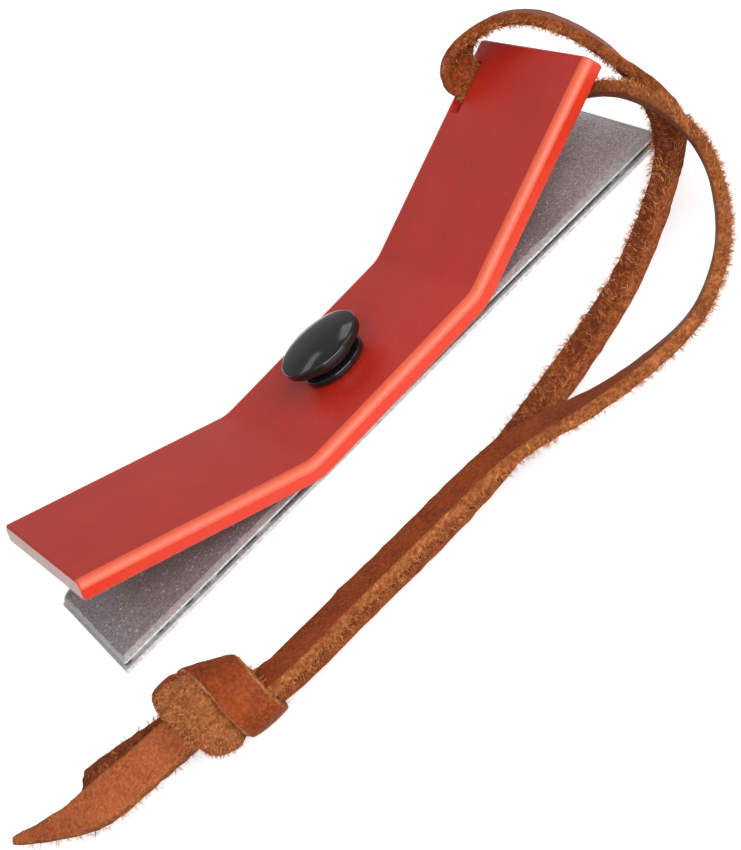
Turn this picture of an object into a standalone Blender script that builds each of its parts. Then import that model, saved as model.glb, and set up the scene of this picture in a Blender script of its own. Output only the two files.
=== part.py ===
"""Edge tuning tool: a bent plastic holder over a two-sided abrasive file,
clamped by a knob on a screw, with a leather lanyard tied through the holder.

Metres, +Z up. +X runs along the tool, the file's lower face lies at z = 0.
The strip and the lanyard are placed from the strip's middle. The knob, the
screw and the file are placed from the pivot, a little to one side of it."""
import math

import bmesh
import bpy
from mathutils import Matrix, Vector

MM = 0.001

# Holder strip
STRIP_WIDTH = 29.8 * MM
STRIP_THICKNESS = 2.8 * MM
STRIP_CENTRE_LENGTH = 31.6 * MM
WING_LENGTH = 34.8 * MM
WING_ANGLE = math.radians(20.6)
BEND_RADIUS = 9.0 * MM
TOP_EDGE_RADIUS = 1.2 * MM
LOWER_EDGE_RADIUS = 0.35 * MM
END_EDGE = 0.25 * MM

# Lace slot in the right wing
SLOT_LENGTH = 8.0 * MM
SLOT_WIDTH = 2.8 * MM
SLOT_FROM_WING_END = 3.2 * MM
SLOT_WEB = 1.2 * MM
SLOT_CORNER_RADIUS = 0.5 * MM

# File: two abrasive plates bonded to a core
FILE_LENGTH = 100.4 * MM
FILE_WIDTH = 27.9 * MM
PLATE_THICKNESS = 0.55 * MM
CORE_THICKNESS = 0.5 * MM
GLUE_LINE = 0.1 * MM
UPPER_PLATE_INSET = 0.5 * MM
CORE_INSET = 0.6 * MM
UPPER_CORNER_RADIUS = 2.2 * MM
LOWER_CORNER_RADIUS = 0.5 * MM
FILE_SET_BACK = 2.3 * MM
FILE_TURN = math.radians(-3.0)

# Screw, knob and washer, on a pivot beside the strip's middle
PIVOT_OFFSET = -1.6 * MM
SCREW_DIAMETER = 3.9 * MM
SCREW_HEAD_DIAMETER = 6.8 * MM
SCREW_HEAD_RECESS = 0.35 * MM
SCREW_SLOT_WIDTH = 0.9 * MM
SCREW_SLOT_DEPTH = 0.35 * MM
THREAD_ENGAGEMENT = 2.5 * MM
WASHER_DIAMETER = 9.4 * MM
WASHER_THICKNESS = 1.0 * MM
NECK_DIAMETER = 8.0 * MM
NECK_HEIGHT = 1.5 * MM
HEAD_DIAMETER = 12.3 * MM
HEAD_FLARE = 0.5 * MM
HEAD_RIM = 0.7 * MM
HEAD_DOME = 0.9 * MM
INSERT_WALL = 0.9 * MM
INSERT_LENGTH = 2.7 * MM

# Clearances
SEAT_GAP = 0.3 * MM
PIVOT_CLEARANCE = 0.1 * MM
HOLE_CLEARANCE = 0.25 * MM
THREAD_CLEARANCE = 0.1 * MM
HEAD_CLEARANCE = 0.3 * MM
INSERT_CLEARANCE = 0.1 * MM

# Leather lace
LACE_WIDTH = 5.5 * MM
LACE_THICKNESS = 1.7 * MM
LACE_IN_SLOT = 0.25 * MM
SLOT_LEAD = 1.4 * MM
SLOT_SWAY = 0.1 * MM
KNOT_LENGTH = 13.6 * MM
KNOT_WIDTH = 11.4 * MM
KNOT_HEIGHT = 8.8 * MM

# Mesh resolution
ROUND_SEGMENTS = 48
EDGE_STEPS = 5
BEND_STEPS = 8
LACE_STEPS = 2
KNOT_SEGMENTS = 24
KNOT_RINGS = 12

# Heights that follow from the sizes above
CORE_BASE = PLATE_THICKNESS + GLUE_LINE
UPPER_BASE = CORE_BASE + CORE_THICKNESS + GLUE_LINE
FILE_TOP = UPPER_BASE + PLATE_THICKNESS
STRIP_BASE = FILE_TOP + SEAT_GAP
STRIP_TOP = STRIP_BASE + STRIP_THICKNESS
WASHER_BASE = STRIP_TOP + SEAT_GAP
KNOB_BASE = WASHER_BASE + WASHER_THICKNESS + SEAT_GAP
SCREW_HEAD_TOP = UPPER_BASE - GLUE_LINE
SCREW_HEAD_BASE = SCREW_HEAD_RECESS
SCREW_TIP = KNOB_BASE + INSERT_CLEARANCE + THREAD_ENGAGEMENT
INSERT_BORE = SCREW_DIAMETER / 2 + THREAD_CLEARANCE
INSERT_RADIUS = INSERT_BORE + INSERT_WALL
INSERT_TOP = KNOB_BASE + INSERT_CLEARANCE + INSERT_LENGTH

# The file lies along the strip's middle, whatever the pivot's offset
FILE_CENTRE = Vector((-PIVOT_OFFSET, FILE_SET_BACK, 0))

# The rigid pieces' box is centred on the origin, which places the strip's middle
TURN_COS = math.cos(FILE_TURN)
TURN_SIN = abs(math.sin(FILE_TURN))
FILE_HALF_DEPTH = (FILE_WIDTH * TURN_COS + FILE_LENGTH * TURN_SIN) / 2
TURNED_CENTRE = Matrix.Rotation(FILE_TURN, 3, "Z") @ FILE_CENTRE
FRONT_REACH = min(-STRIP_WIDTH / 2, TURNED_CENTRE.y - FILE_HALF_DEPTH)
BACK_REACH = max(STRIP_WIDTH / 2, TURNED_CENTRE.y + FILE_HALF_DEPTH)
STRIP_MIDDLE = Vector((-PIVOT_OFFSET - TURNED_CENTRE.x, -(FRONT_REACH + BACK_REACH) / 2, 0))


def clear_scene():
    for item in list(bpy.data.objects):
        bpy.data.objects.remove(item, do_unlink=True)


def material(name, colour, roughness, metallic=0.0):
    made = bpy.data.materials.new(name)
    made.use_nodes = True
    shader = made.node_tree.nodes["Principled BSDF"]
    shader.inputs["Base Color"].default_value = (*colour, 1)
    shader.inputs["Roughness"].default_value = roughness
    shader.inputs["Metallic"].default_value = metallic
    return made


def empty(name, location=(0, 0, 0), parent=None, turn=0.0):
    made = bpy.data.objects.new(name, None)
    made.location = location
    made.rotation_euler.z = turn
    made.parent = parent
    bpy.context.collection.objects.link(made)
    return made


def add_object(name, shape, finish, parent=None, sharp_angle=35):
    bmesh.ops.recalc_face_normals(shape, faces=shape.faces)
    mesh = bpy.data.meshes.new(name)
    shape.to_mesh(mesh)
    shape.free()
    mesh.shade_smooth()
    mesh.set_sharp_from_angle(angle=math.radians(sharp_angle))
    if finish:
        mesh.materials.append(finish)
    made = bpy.data.objects.new(name, mesh)
    made.parent = parent
    bpy.context.collection.objects.link(made)
    return made


def cut(target, cutter):
    cutter.hide_render = True
    cutter.display_type = "WIRE"
    modifier = target.modifiers.new(cutter.name, "BOOLEAN")
    modifier.operation = "DIFFERENCE"
    modifier.solver = "EXACT"
    modifier.object = cutter


def loft(rings):
    """A closed solid through rings of equal length."""
    shape = bmesh.new()
    loops = [[shape.verts.new(point) for point in ring] for ring in rings]
    count = len(loops[0])
    for near, far in zip(loops, loops[1:]):
        for i in range(count):
            j = (i + 1) % count
            shape.faces.new((near[i], near[j], far[j], far[i]))
    shape.faces.new(loops[0])
    shape.faces.new(loops[-1])
    return shape


def turned(name, profile, finish, parent=None, sharp_angle=35):
    """A solid of revolution about Z. The profile's (radius, height) points go
    round the section once. A radius of zero is a point on the axis."""
    shape = bmesh.new()
    columns = []
    for radius, height in profile:
        if radius == 0:
            columns.append([shape.verts.new((0, 0, height))])
            continue
        angles = [2 * math.pi * k / ROUND_SEGMENTS for k in range(ROUND_SEGMENTS)]
        points = [(radius * math.cos(a), radius * math.sin(a), height) for a in angles]
        columns.append([shape.verts.new(point) for point in points])
    for i, low in enumerate(columns):
        high = columns[(i + 1) % len(columns)]
        if len(low) == 1 and len(high) == 1:
            continue
        for k in range(ROUND_SEGMENTS):
            n = (k + 1) % ROUND_SEGMENTS
            corners = [low[k % len(low)], low[n % len(low)], high[n % len(high)], high[k % len(high)]]
            shape.faces.new(list(dict.fromkeys(corners)))
    return add_object(name, shape, finish, parent, sharp_angle)


def arc(centre, radius, start, end, steps):
    turns = [start + (end - start) * k / steps for k in range(steps + 1)]
    return [(centre[0] + radius * math.cos(a), centre[1] + radius * math.sin(a)) for a in turns]


def rounded_rectangle(length, width, radius, steps):
    """Corner-rounded outline centred on the origin, anticlockwise."""
    x = length / 2 - radius
    y = width / 2 - radius
    outline = []
    for k, (sx, sy) in enumerate(((1, 1), (-1, 1), (-1, -1), (1, -1))):
        start = k * math.pi / 2
        outline += arc((sx * x, sy * y), radius, start, start + math.pi / 2, steps)
    return outline


def plate(name, length, width, radius, base, thickness, hole_radius, finish, parent):
    """A flat plate of the file, with the hole for the pivot screw."""
    outline = rounded_rectangle(length, width, radius, EDGE_STEPS)
    rings = []
    for z in (base, base + thickness):
        rings.append([FILE_CENTRE + Vector((x, y, z)) for x, y in outline])
    made = add_object(name, loft(rings), finish, parent)
    margin = thickness
    bore = [(0, base - margin), (hole_radius, base - margin)]
    bore += [(hole_radius, base + thickness + margin), (0, base + thickness + margin)]
    cut(made, turned(name + "_bore", bore, None, parent))
    return made


def wing_point(along, height, side=1):
    """A point in the XZ plane on a wing: along it from the bend, and up from its underside."""
    x = STRIP_CENTRE_LENGTH / 2 + along * math.cos(WING_ANGLE) - height * math.sin(WING_ANGLE)
    z = STRIP_BASE + along * math.sin(WING_ANGLE) + height * math.cos(WING_ANGLE)
    return Vector((side * x, 0, z))


def strip_stations():
    """Points along the strip's underside with the normal there, from left to right."""
    setback = BEND_RADIUS * math.tan(WING_ANGLE / 2)
    centre = Vector((STRIP_CENTRE_LENGTH / 2 - setback, 0, STRIP_BASE + BEND_RADIUS))
    half = []
    for k in range(BEND_STEPS + 1):
        a = WING_ANGLE * k / BEND_STEPS
        normal = Vector((-math.sin(a), 0, math.cos(a)))
        half.append((centre - normal * BEND_RADIUS, normal))
    tip = Vector((-math.sin(WING_ANGLE), 0, math.cos(WING_ANGLE)))
    half.append((wing_point(WING_LENGTH - END_EDGE, 0), tip))
    half.append((wing_point(WING_LENGTH, 0), tip))
    mirror = Matrix.Scale(-1, 3, (1, 0, 0))
    left = [(mirror @ point, mirror @ normal) for point, normal in reversed(half)]
    return left + half


def strip_section(inset):
    """The strip's section across its width: large rounds above, small ones below."""
    half = STRIP_WIDTH / 2 - inset
    low = inset
    high = STRIP_THICKNESS - inset
    top = TOP_EDGE_RADIUS
    base = LOWER_EDGE_RADIUS
    section = arc((half - base, low + base), base, -math.pi / 2, 0, EDGE_STEPS)
    section += arc((half - top, high - top), top, 0, math.pi / 2, EDGE_STEPS)
    section += [(-y, h) for y, h in reversed(section)]
    return section


def holder_strip(finish, parent, pivot):
    stations = strip_stations()
    last = len(stations) - 1
    rings = []
    for k, (point, normal) in enumerate(stations):
        section = strip_section(END_EDGE if k in (0, last) else 0)
        rings.append([point + Vector((0, y, 0)) + normal * h for y, h in section])
    made = add_object("holder_strip", loft(rings), finish, parent)
    hole = SCREW_DIAMETER / 2 + HOLE_CLEARANCE
    low = STRIP_BASE - STRIP_THICKNESS
    high = STRIP_TOP + STRIP_THICKNESS
    profile = [(0, low), (hole, low), (hole, high), (0, high)]
    cut(made, turned("pivot_hole", profile, None, pivot))
    cut(made, lace_slot(parent))
    return made


def slot_centre(height):
    along = WING_LENGTH - SLOT_FROM_WING_END - SLOT_LENGTH / 2
    back = STRIP_WIDTH / 2 - SLOT_WEB - SLOT_WIDTH / 2
    return wing_point(along, height) + Vector((0, back, 0))


def lace_slot(parent):
    """The cutter for the slot: a bar square to the wing."""
    outline = rounded_rectangle(SLOT_LENGTH, SLOT_WIDTH, SLOT_CORNER_RADIUS, EDGE_STEPS)
    tilt = Matrix.Rotation(-WING_ANGLE, 3, "Y")
    rings = []
    for height in (-STRIP_THICKNESS, 2 * STRIP_THICKNESS):
        rings.append([slot_centre(height) + tilt @ Vector((x, y, 0)) for x, y in outline])
    return add_object("slot_cutter", loft(rings), None, parent)


def knob(finish, parent):
    """Mushroom knob: neck, flared underside, rim and low dome, bored for its insert."""
    bore = INSERT_RADIUS + INSERT_CLEARANCE
    bore_top = INSERT_TOP + INSERT_CLEARANCE
    neck_top = KNOB_BASE + NECK_HEIGHT
    rim_low = neck_top + HEAD_FLARE
    radius = HEAD_DIAMETER / 2
    profile = [(0, bore_top), (bore, bore_top), (bore, KNOB_BASE)]
    profile += [(NECK_DIAMETER / 2, KNOB_BASE), (NECK_DIAMETER / 2, neck_top)]
    round_over = HEAD_RIM / 2
    rim_centre = (radius - round_over, rim_low + round_over)
    profile += arc(rim_centre, round_over, -math.pi / 2, math.pi / 3, EDGE_STEPS)
    edge = profile[-1]
    dome_steps = 2 * EDGE_STEPS
    for k in range(1, dome_steps):
        reach = 1 - k / dome_steps
        profile.append((edge[0] * reach, edge[1] + HEAD_DOME * (1 - reach ** 2)))
    profile.append((0, edge[1] + HEAD_DOME))
    return turned("knob", profile, finish, parent, 30)


def knob_insert(finish, parent):
    low = KNOB_BASE + INSERT_CLEARANCE
    profile = [(INSERT_BORE, low), (INSERT_RADIUS, low)]
    profile += [(INSERT_RADIUS, INSERT_TOP), (INSERT_BORE, INSERT_TOP)]
    return turned("knob_insert", profile, finish, parent)


def pressure_washer(finish, parent):
    bore = SCREW_DIAMETER / 2 + HOLE_CLEARANCE
    edge = WASHER_THICKNESS / 4
    radius = WASHER_DIAMETER / 2
    high = WASHER_BASE + WASHER_THICKNESS
    profile = [(bore, WASHER_BASE), (radius - edge, WASHER_BASE), (radius, WASHER_BASE + edge)]
    profile += [(radius, high - edge), (radius - edge, high), (bore, high)]
    return turned("pressure_washer", profile, finish, parent)


def clamp_screw(finish, parent):
    """Low-headed screw. Its slotted head sits inside the file, clear of the working face."""
    shank = SCREW_DIAMETER / 2
    head = SCREW_HEAD_DIAMETER / 2
    profile = [(0, SCREW_HEAD_BASE), (head, SCREW_HEAD_BASE), (head, SCREW_HEAD_TOP)]
    profile += [(shank, SCREW_HEAD_TOP), (shank, SCREW_TIP), (0, SCREW_TIP)]
    made = turned("clamp_screw", profile, finish, parent)
    slot = bmesh.new()
    bmesh.ops.create_cube(slot, size=1)
    size = (SCREW_HEAD_DIAMETER * 2, SCREW_SLOT_WIDTH, SCREW_SLOT_DEPTH * 2)
    bmesh.ops.scale(slot, vec=size, verts=slot.verts)
    bmesh.ops.translate(slot, vec=(0, 0, SCREW_HEAD_BASE), verts=slot.verts)
    cut(made, add_object("screw_slot", slot, None, parent))
    return made


# Lanyard route: points in millimetres from the strip's middle, and the direction across the lace.
# It leaves the knot, loops right, passes under the wing and up through the slot, and returns.
LOOP_TO_SLOT = [
    ((-39.8, -46.0, 5.1), (0.06, 1.00, 0.00)),
    ((-28.1, -46.8, 5.1), (0.07, 1.00, 0.00)),
    ((-20.9, -47.4, 5.1), (0.08, 1.00, 0.00)),
    ((-13.1, -48.0, 5.1), (0.08, 1.00, 0.00)),
    ((-4.7, -48.8, 5.1), (0.22, 0.97, 0.00)),
    ((1.1, -51.7, 5.2), (0.50, 0.85, -0.09)),
    ((6.2, -55.6, 5.2), (0.44, 0.86, -0.24)),
    ((11.3, -57.7, 4.9), (0.17, 0.93, -0.32)),
    ((16.3, -58.3, 4.4), (-0.04, 0.93, -0.37)),
    ((21.6, -57.8, 3.9), (-0.27, 0.84, -0.47)),
    ((26.9, -55.3, 3.6), (-0.42, 0.66, -0.63)),
    ((33.1, -50.6, 3.7), (-0.41, 0.50, -0.76)),
    ((38.3, -45.0, 4.5), (-0.29, 0.36, -0.89)),
    ((42.9, -38.6, 6.1), (-0.11, 0.28, -0.95)),
    ((45.8, -31.9, 8.2), (0.10, 0.19, -0.98)),
    ((47.5, -23.7, 9.7), (0.27, 0.07, -0.96)),
    ((48.2, -15.0, 10.0), (0.49, 0.01, -0.87)),
    ((47.6, -7.5, 9.5), (0.79, 0.12, -0.61)),
    ((45.5, 0.3, 8.7), (0.95, 0.26, -0.16)),
    ((44.0, 6.4, 8.4), (0.98, 0.19, 0.10)),
]
SLOT_TO_KNOT = [
    ((42.1, 12.3, 17.9), (0.94, 0.12, 0.05)),
    ((43.9, 11.6, 19.4), (0.80, 0.45, -0.30)),
    ((46.3, 9.6, 20.1), (0.73, 0.57, -0.38)),
    ((48.5, 6.6, 20.2), (0.74, 0.51, -0.44)),
    ((50.7, 2.4, 19.1), (0.65, 0.53, -0.55)),
    ((52.2, -1.8, 16.3), (0.53, 0.63, -0.57)),
    ((53.0, -5.4, 12.6), (0.46, 0.63, -0.63)),
    ((52.8, -9.0, 9.0), (0.25, 0.50, -0.83)),
    ((51.4, -14.2, 5.8), (-0.25, 0.55, -0.80)),
    ((47.7, -21.8, 4.4), (-0.66, 0.62, -0.36)),
    ((42.9, -27.4, 4.4), (-0.60, 0.73, -0.34)),
    ((38.5, -30.9, 4.2), (-0.52, 0.80, -0.32)),
    ((32.3, -35.1, 3.9), (-0.48, 0.83, -0.26)),
    ((24.5, -39.2, 3.6), (-0.39, 0.91, -0.15)),
    ((17.5, -41.6, 3.4), (-0.28, 0.96, -0.03)),
    ((10.1, -43.4, 3.2), (-0.22, 0.97, 0.02)),
    ((3.2, -44.9, 3.2), (-0.18, 0.98, 0.00)),
    ((-4.8, -46.2, 3.1), (-0.10, 0.99, 0.00)),
    ((-12.8, -46.6, 3.1), (0.00, 1.00, 0.00)),
    ((-20.8, -46.2, 3.1), (0.07, 1.00, 0.00)),
    ((-28.0, -45.6, 3.1), (0.07, 1.00, 0.00)),
    ((-39.8, -44.6, 3.1), (0.08, 1.00, 0.00)),
]
LONG_TAIL = [
    ((-52.8, -36.5, 3.5), (-0.44, -0.69, -0.57), 1.0),
    ((-58.4, -35.2, 3.4), (-0.40, -0.71, -0.57), 1.0),
    ((-64.6, -32.8, 2.9), (-0.40, -0.72, -0.55), 0.95),
    ((-69.8, -28.2, 2.2), (-0.40, -0.74, -0.50), 0.6),
    ((-75.0, -21.4, 1.5), (-0.42, -0.75, -0.45), 0.2),
]
SHORT_TAIL = [
    ((-51.6, -33.0, 2.6), (-0.50, -0.86, 0.00), 1.0),
    ((-57.8, -28.8, 2.2), (-0.50, -0.86, 0.00), 1.0),
    ((-64.2, -24.6, 1.6), (-0.50, -0.86, 0.00), 0.8),
]
KNOT_CENTRE = Vector((-46.9, -41.0, 4.7)) * MM
KNOT_HEADING = math.radians(168.0)


def slot_passage():
    """Route points through the slot, square to the wing, at the slot's outer end."""
    along = WING_LENGTH - SLOT_FROM_WING_END - LACE_IN_SLOT - LACE_WIDTH / 2
    back = slot_centre(0).y
    across = Vector((math.cos(WING_ANGLE), 0, math.sin(WING_ANGLE)))
    heights = (-SLOT_LEAD, 0, STRIP_THICKNESS / 2, STRIP_THICKNESS, STRIP_THICKNESS + SLOT_LEAD)
    offsets = (-SLOT_SWAY, 0, 0, 0, SLOT_SWAY)
    return [(wing_point(along, h) + Vector((0, back + dy, 0)), across) for h, dy in zip(heights, offsets)]


def smooth(values, index, share):
    """Catmull-Rom value between values[index] and the next one."""
    a = values[max(index - 1, 0)]
    b = values[index]
    c = values[index + 1]
    d = values[min(index + 2, len(values) - 1)]
    bend = (2 * a - 5 * b + 4 * c - d) * share ** 2 + (3 * b - a - 3 * c + d) * share ** 3
    return b + 0.5 * ((c - a) * share + bend)


def lace(name, points, across, widths, finish, parent):
    """A flat lace swept along a smooth curve through the points."""
    samples = []
    for i in range(len(points) - 1):
        for k in range(LACE_STEPS):
            samples.append((i, k / LACE_STEPS))
    samples.append((len(points) - 2, 1.0))
    path = [smooth(points, i, s) for i, s in samples]
    sides = [smooth(across, i, s) for i, s in samples]
    spans = [smooth(widths, i, s) for i, s in samples]
    rings = []
    for k, point in enumerate(path):
        ahead = path[min(k + 1, len(path) - 1)] - path[max(k - 1, 0)]
        ahead.normalize()
        side = (sides[k] - ahead * sides[k].dot(ahead)).normalized()
        face = ahead.cross(side)
        half = side * LACE_WIDTH * spans[k] / 2
        deep = face * LACE_THICKNESS / 2
        rings.append([point - half - deep, point + half - deep, point + half + deep, point - half + deep])
    length = sum((b - a).length for a, b in zip(path, path[1:]))
    print(name, "length", round(length / MM, 1), "mm")
    return add_object(name, loft(rings), finish, parent)


def lanyard(finish, parent):
    route = [(Vector(p) * MM, Vector(w)) for p, w in LOOP_TO_SLOT]
    route += slot_passage()
    route += [(Vector(p) * MM, Vector(w)) for p, w in SLOT_TO_KNOT]
    points = [p for p, w in route]
    lace("lanyard_loop", points, [w for p, w in route], [1.0] * len(route), finish, parent)
    for name, tail in (("lanyard_tail_long", LONG_TAIL), ("lanyard_tail_short", SHORT_TAIL)):
        points = [Vector(p) * MM for p, w, s in tail]
        lace(name, points, [Vector(w) for p, w, s in tail], [s for p, w, s in tail], finish, parent)
    lump = bmesh.new()
    bmesh.ops.create_uvsphere(lump, u_segments=KNOT_SEGMENTS, v_segments=KNOT_RINGS, radius=0.5)
    bmesh.ops.scale(lump, vec=(KNOT_LENGTH, KNOT_WIDTH, KNOT_HEIGHT), verts=lump.verts)
    bmesh.ops.rotate(lump, matrix=Matrix.Rotation(KNOT_HEADING, 3, "Z"), verts=lump.verts)
    bmesh.ops.translate(lump, vec=KNOT_CENTRE, verts=lump.verts)
    add_object("lanyard_knot", lump, finish, parent)


def main():
    clear_scene()
    red = material("red_plastic", (0.55, 0.05, 0.03), 0.4)
    black = material("black_plastic", (0.02, 0.02, 0.022), 0.2)
    grit = material("abrasive_plate", (0.42, 0.41, 0.41), 0.5, 0.8)
    dark = material("file_core", (0.05, 0.05, 0.05), 0.6)
    steel = material("steel", (0.55, 0.55, 0.55), 0.3, 1.0)
    brass = material("brass", (0.7, 0.5, 0.2), 0.3, 1.0)
    leather = material("leather", (0.33, 0.13, 0.05), 0.8)
    middle = empty("strip_middle", STRIP_MIDDLE)
    pivot = empty("pivot", (PIVOT_OFFSET, 0, 0), middle)
    file_turn = empty("file_turn", parent=pivot, turn=FILE_TURN)
    holder_strip(red, middle, pivot)
    clearance_hole = SCREW_HEAD_DIAMETER / 2 + HEAD_CLEARANCE
    plate("lower_abrasive_plate", FILE_LENGTH, FILE_WIDTH, LOWER_CORNER_RADIUS,
          0, PLATE_THICKNESS, clearance_hole, grit, file_turn)
    plate("file_core", FILE_LENGTH - 2 * CORE_INSET, FILE_WIDTH - 2 * CORE_INSET, LOWER_CORNER_RADIUS,
          CORE_BASE, CORE_THICKNESS, clearance_hole, dark, file_turn)
    plate("upper_abrasive_plate", FILE_LENGTH - 2 * UPPER_PLATE_INSET, FILE_WIDTH, UPPER_CORNER_RADIUS,
          UPPER_BASE, PLATE_THICKNESS, SCREW_DIAMETER / 2 + PIVOT_CLEARANCE, grit, file_turn)
    clamp_screw(steel, pivot)
    pressure_washer(black, pivot)
    knob(black, pivot)
    knob_insert(brass, pivot)
    lanyard(leather, middle)


main()
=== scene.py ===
"""Looks of the edge tuning tool: red moulded holder, grit-faced file, black knob and leather lanyard.

Metres, +Z up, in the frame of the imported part."""
import math
import random

import bmesh
import bpy
from mathutils import Matrix, Vector, noise


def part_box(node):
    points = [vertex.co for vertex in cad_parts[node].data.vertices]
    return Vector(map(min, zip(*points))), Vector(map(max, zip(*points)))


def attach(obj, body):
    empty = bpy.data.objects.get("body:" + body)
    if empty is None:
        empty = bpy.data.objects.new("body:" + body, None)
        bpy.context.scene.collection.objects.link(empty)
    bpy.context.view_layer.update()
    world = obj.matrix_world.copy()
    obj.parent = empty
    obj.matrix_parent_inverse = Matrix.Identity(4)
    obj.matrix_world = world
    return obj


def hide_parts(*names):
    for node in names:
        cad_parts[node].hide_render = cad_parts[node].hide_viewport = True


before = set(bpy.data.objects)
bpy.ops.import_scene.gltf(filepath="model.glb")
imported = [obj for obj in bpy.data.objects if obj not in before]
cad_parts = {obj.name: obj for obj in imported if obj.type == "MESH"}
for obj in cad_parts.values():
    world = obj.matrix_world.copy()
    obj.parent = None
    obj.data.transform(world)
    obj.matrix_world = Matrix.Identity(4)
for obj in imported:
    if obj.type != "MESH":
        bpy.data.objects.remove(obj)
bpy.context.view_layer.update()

MM = 0.001

# Camera, placed from the strip's middle
CAMERA_PLACE = Vector((-60.80, -298.59, 150.08)) * MM
VIEW_HEADING = math.radians(10.84)
VIEW_DROP = math.radians(27.05)
VIEW_ROLL = math.radians(-41.32)
FOCAL_PIXELS = 2511.4
IMAGE_HEIGHT = 850
SENSOR_MM = 36.0
CLIP_START = 10 * MM

# Holder strip
STRIP_WIDTH = 29.8 * MM
STRIP_THICKNESS = 2.8 * MM
STRIP_CENTRE_LENGTH = 31.6 * MM
STRIP_BASE = 2.1 * MM
WING_LENGTH = 34.8 * MM
WING_ANGLE = math.radians(20.6)
BEND_RADIUS = 9.0 * MM
BEND_STEPS = 20
TOP_EDGE_RADIUS = 1.2 * MM
TOP_EDGE_STEPS = 14
LOWER_EDGE_RADIUS = 0.35 * MM
LOWER_EDGE_STEPS = 6
END_EDGE = 0.25 * MM
SLOT_LENGTH = 8.0 * MM
SLOT_WIDTH = 2.8 * MM
SLOT_FROM_WING_END = 3.2 * MM
SLOT_WEB = 1.2 * MM
SLOT_CORNER_RADIUS = 0.5 * MM
SLOT_CORNER_STEPS = 5
HOLE_RADIUS = 2.2 * MM
STRIP_SHARP = 30

# File
FILE_LENGTH = 100.4 * MM
FILE_WIDTH = 27.9 * MM
FILE_TURN = math.radians(-3.0)
PLATE_INSET = 0.5 * MM
PLATE_BACK_CORNER = 2.2 * MM
PLATE_FRONT_CORNER = 0.6 * MM
PLATE_LEAST_CORNER = 0.3 * MM
PLATE_CORNER_STEPS = 10
PLATE_HOLE = 2.05 * MM
PLATE_SHARP = 40
RIM_WIDTH = 1.25 * MM
RIM_DROP = 0.3 * MM
RIM_STEPS = 6
RIM_POWER = 1.15
RIM_WANDER = 0.4 * MM
END_RIM_NARROWER = 2.3
# Along the file from here to there, the grit is painted paler as painted light; short of it, it is painted a
# little darker as painted shade.
PAINTED_LIGHT_FROM = 31 * MM
PAINTED_LIGHT_TO = 50 * MM
CUTTER_SPARE = 0.5 * MM

# Knob and washer
KNOB_BASE = 6.5 * MM
NECK_RADIUS = 4.0 * MM
NECK_HEIGHT = 1.5 * MM
NECK_EDGE = 0.2 * MM
NECK_EDGE_STEPS = 4
KNOB_BORE = 3.05 * MM
KNOB_BORE_DEPTH = 2.9 * MM
HEAD_RADIUS = 6.15 * MM
HEAD_FLARE = 0.5 * MM
HEAD_RIM = 0.7 * MM
HEAD_DOME = 0.9 * MM
HEAD_SKIRT = 0.6 * MM
DOME_STEPS = 24
DOME_POWER = 2.2
WASHER_BASE = 5.2 * MM
WASHER_RADIUS = 4.7 * MM
WASHER_THICKNESS = 1.0 * MM
WASHER_EDGE = 0.3 * MM
EDGE_STEPS = 6
TURNED_SEGMENTS = 96
TURNED_SHARP = 28
BORE_SEGMENTS = 48

# Leather lace
LACE_WIDTH = 5.5 * MM
LACE_THICKNESS = 1.7 * MM
LACE_IN_SLOT = 0.25 * MM
SLOT_LEAD = 1.4 * MM
SLOT_SWAY = 0.1 * MM
LACE_STEPS = 7
LACE_STEPS_ACROSS = 8
LACE_CORNER_STEPS = 4
GRAIN_ROUND = 0.35 * MM
FLESH_ROUND = 0.6 * MM
MOST_ROUND = 0.6
LACE_SHARP = 50
GRAIN, EDGE, FLESH = 0, 1, 2
ROUGHNESS = {GRAIN: 0.05 * MM, EDGE: 0.16 * MM, FLESH: 0.22 * MM}
COARSE_LUMPS = 900
FINE_LUMPS = 2300

# Loose fibres
FIBRE_LENGTH = (0.28 * MM, 1.25 * MM)
FIBRE_THICKNESS = (0.020 * MM, 0.042 * MM)
FIBRE_CURL = 0.6
FIBRE_SIDES = 3
FIBRE_SINK = 0.1 * MM
FIBRE_SHARP = 60
TUFT_COUNTS = (1, 2, 4)
TUFT_SPREAD = 0.12 * MM
TUFT_SPLAY = 0.35
FLOOR_GAP = 0.1 * MM

# Knot
KNOT_CENTRE = Vector((-46.9, -41.0, 4.7)) * MM
KNOT_HEADING = math.radians(168.0)
KNOT_LEAN = math.radians(27.0)
BAND_WIDTH = 1.02
BAND_ARCH = 0.25 * MM
KNOT_FIBRES = 1100
KNOT_SEED, FRONT_SEED, REAR_SEED = 5, 11, 12
KNOT_FIBRE_REACH = 0.6

# Folded lace inside the knot's band, its lengths in millimetres
CORE_TO_STRANDS = 6.2
CORE_TO_TAILS = 4.3
CORE_DOWN = 5.5
CORE_OUT = 4.2
CORE_POWER = 2.5
CORE_TAPER = 0.07
CORE_SHIFT_TO_TAILS = 1.2
CORE_SHIFT_UP = 0.6
CORE_HUMP = 1.8
CORE_HUMP_WAY = Vector((-0.72, -0.69, 0.0))
CORE_HUMP_SPREAD = 0.28
CORE_SUBDIVISIONS = 5
CORE_FLOOR_GAP = 0.15

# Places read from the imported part
STRIP_LOW, STRIP_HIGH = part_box("holder_strip")
KNOB_LOW, KNOB_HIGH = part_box("knob")
FILE_LOW, FILE_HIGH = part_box("upper_abrasive_plate")
MIDDLE = Vector(((STRIP_LOW.x + STRIP_HIGH.x) / 2, (STRIP_LOW.y + STRIP_HIGH.y) / 2, 0))
PIVOT = Vector(((KNOB_LOW.x + KNOB_HIGH.x) / 2, (KNOB_LOW.y + KNOB_HIGH.y) / 2, 0))
FILE_MIDDLE = Vector(((FILE_LOW.x + FILE_HIGH.x) / 2, (FILE_LOW.y + FILE_HIGH.y) / 2, 0))
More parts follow.
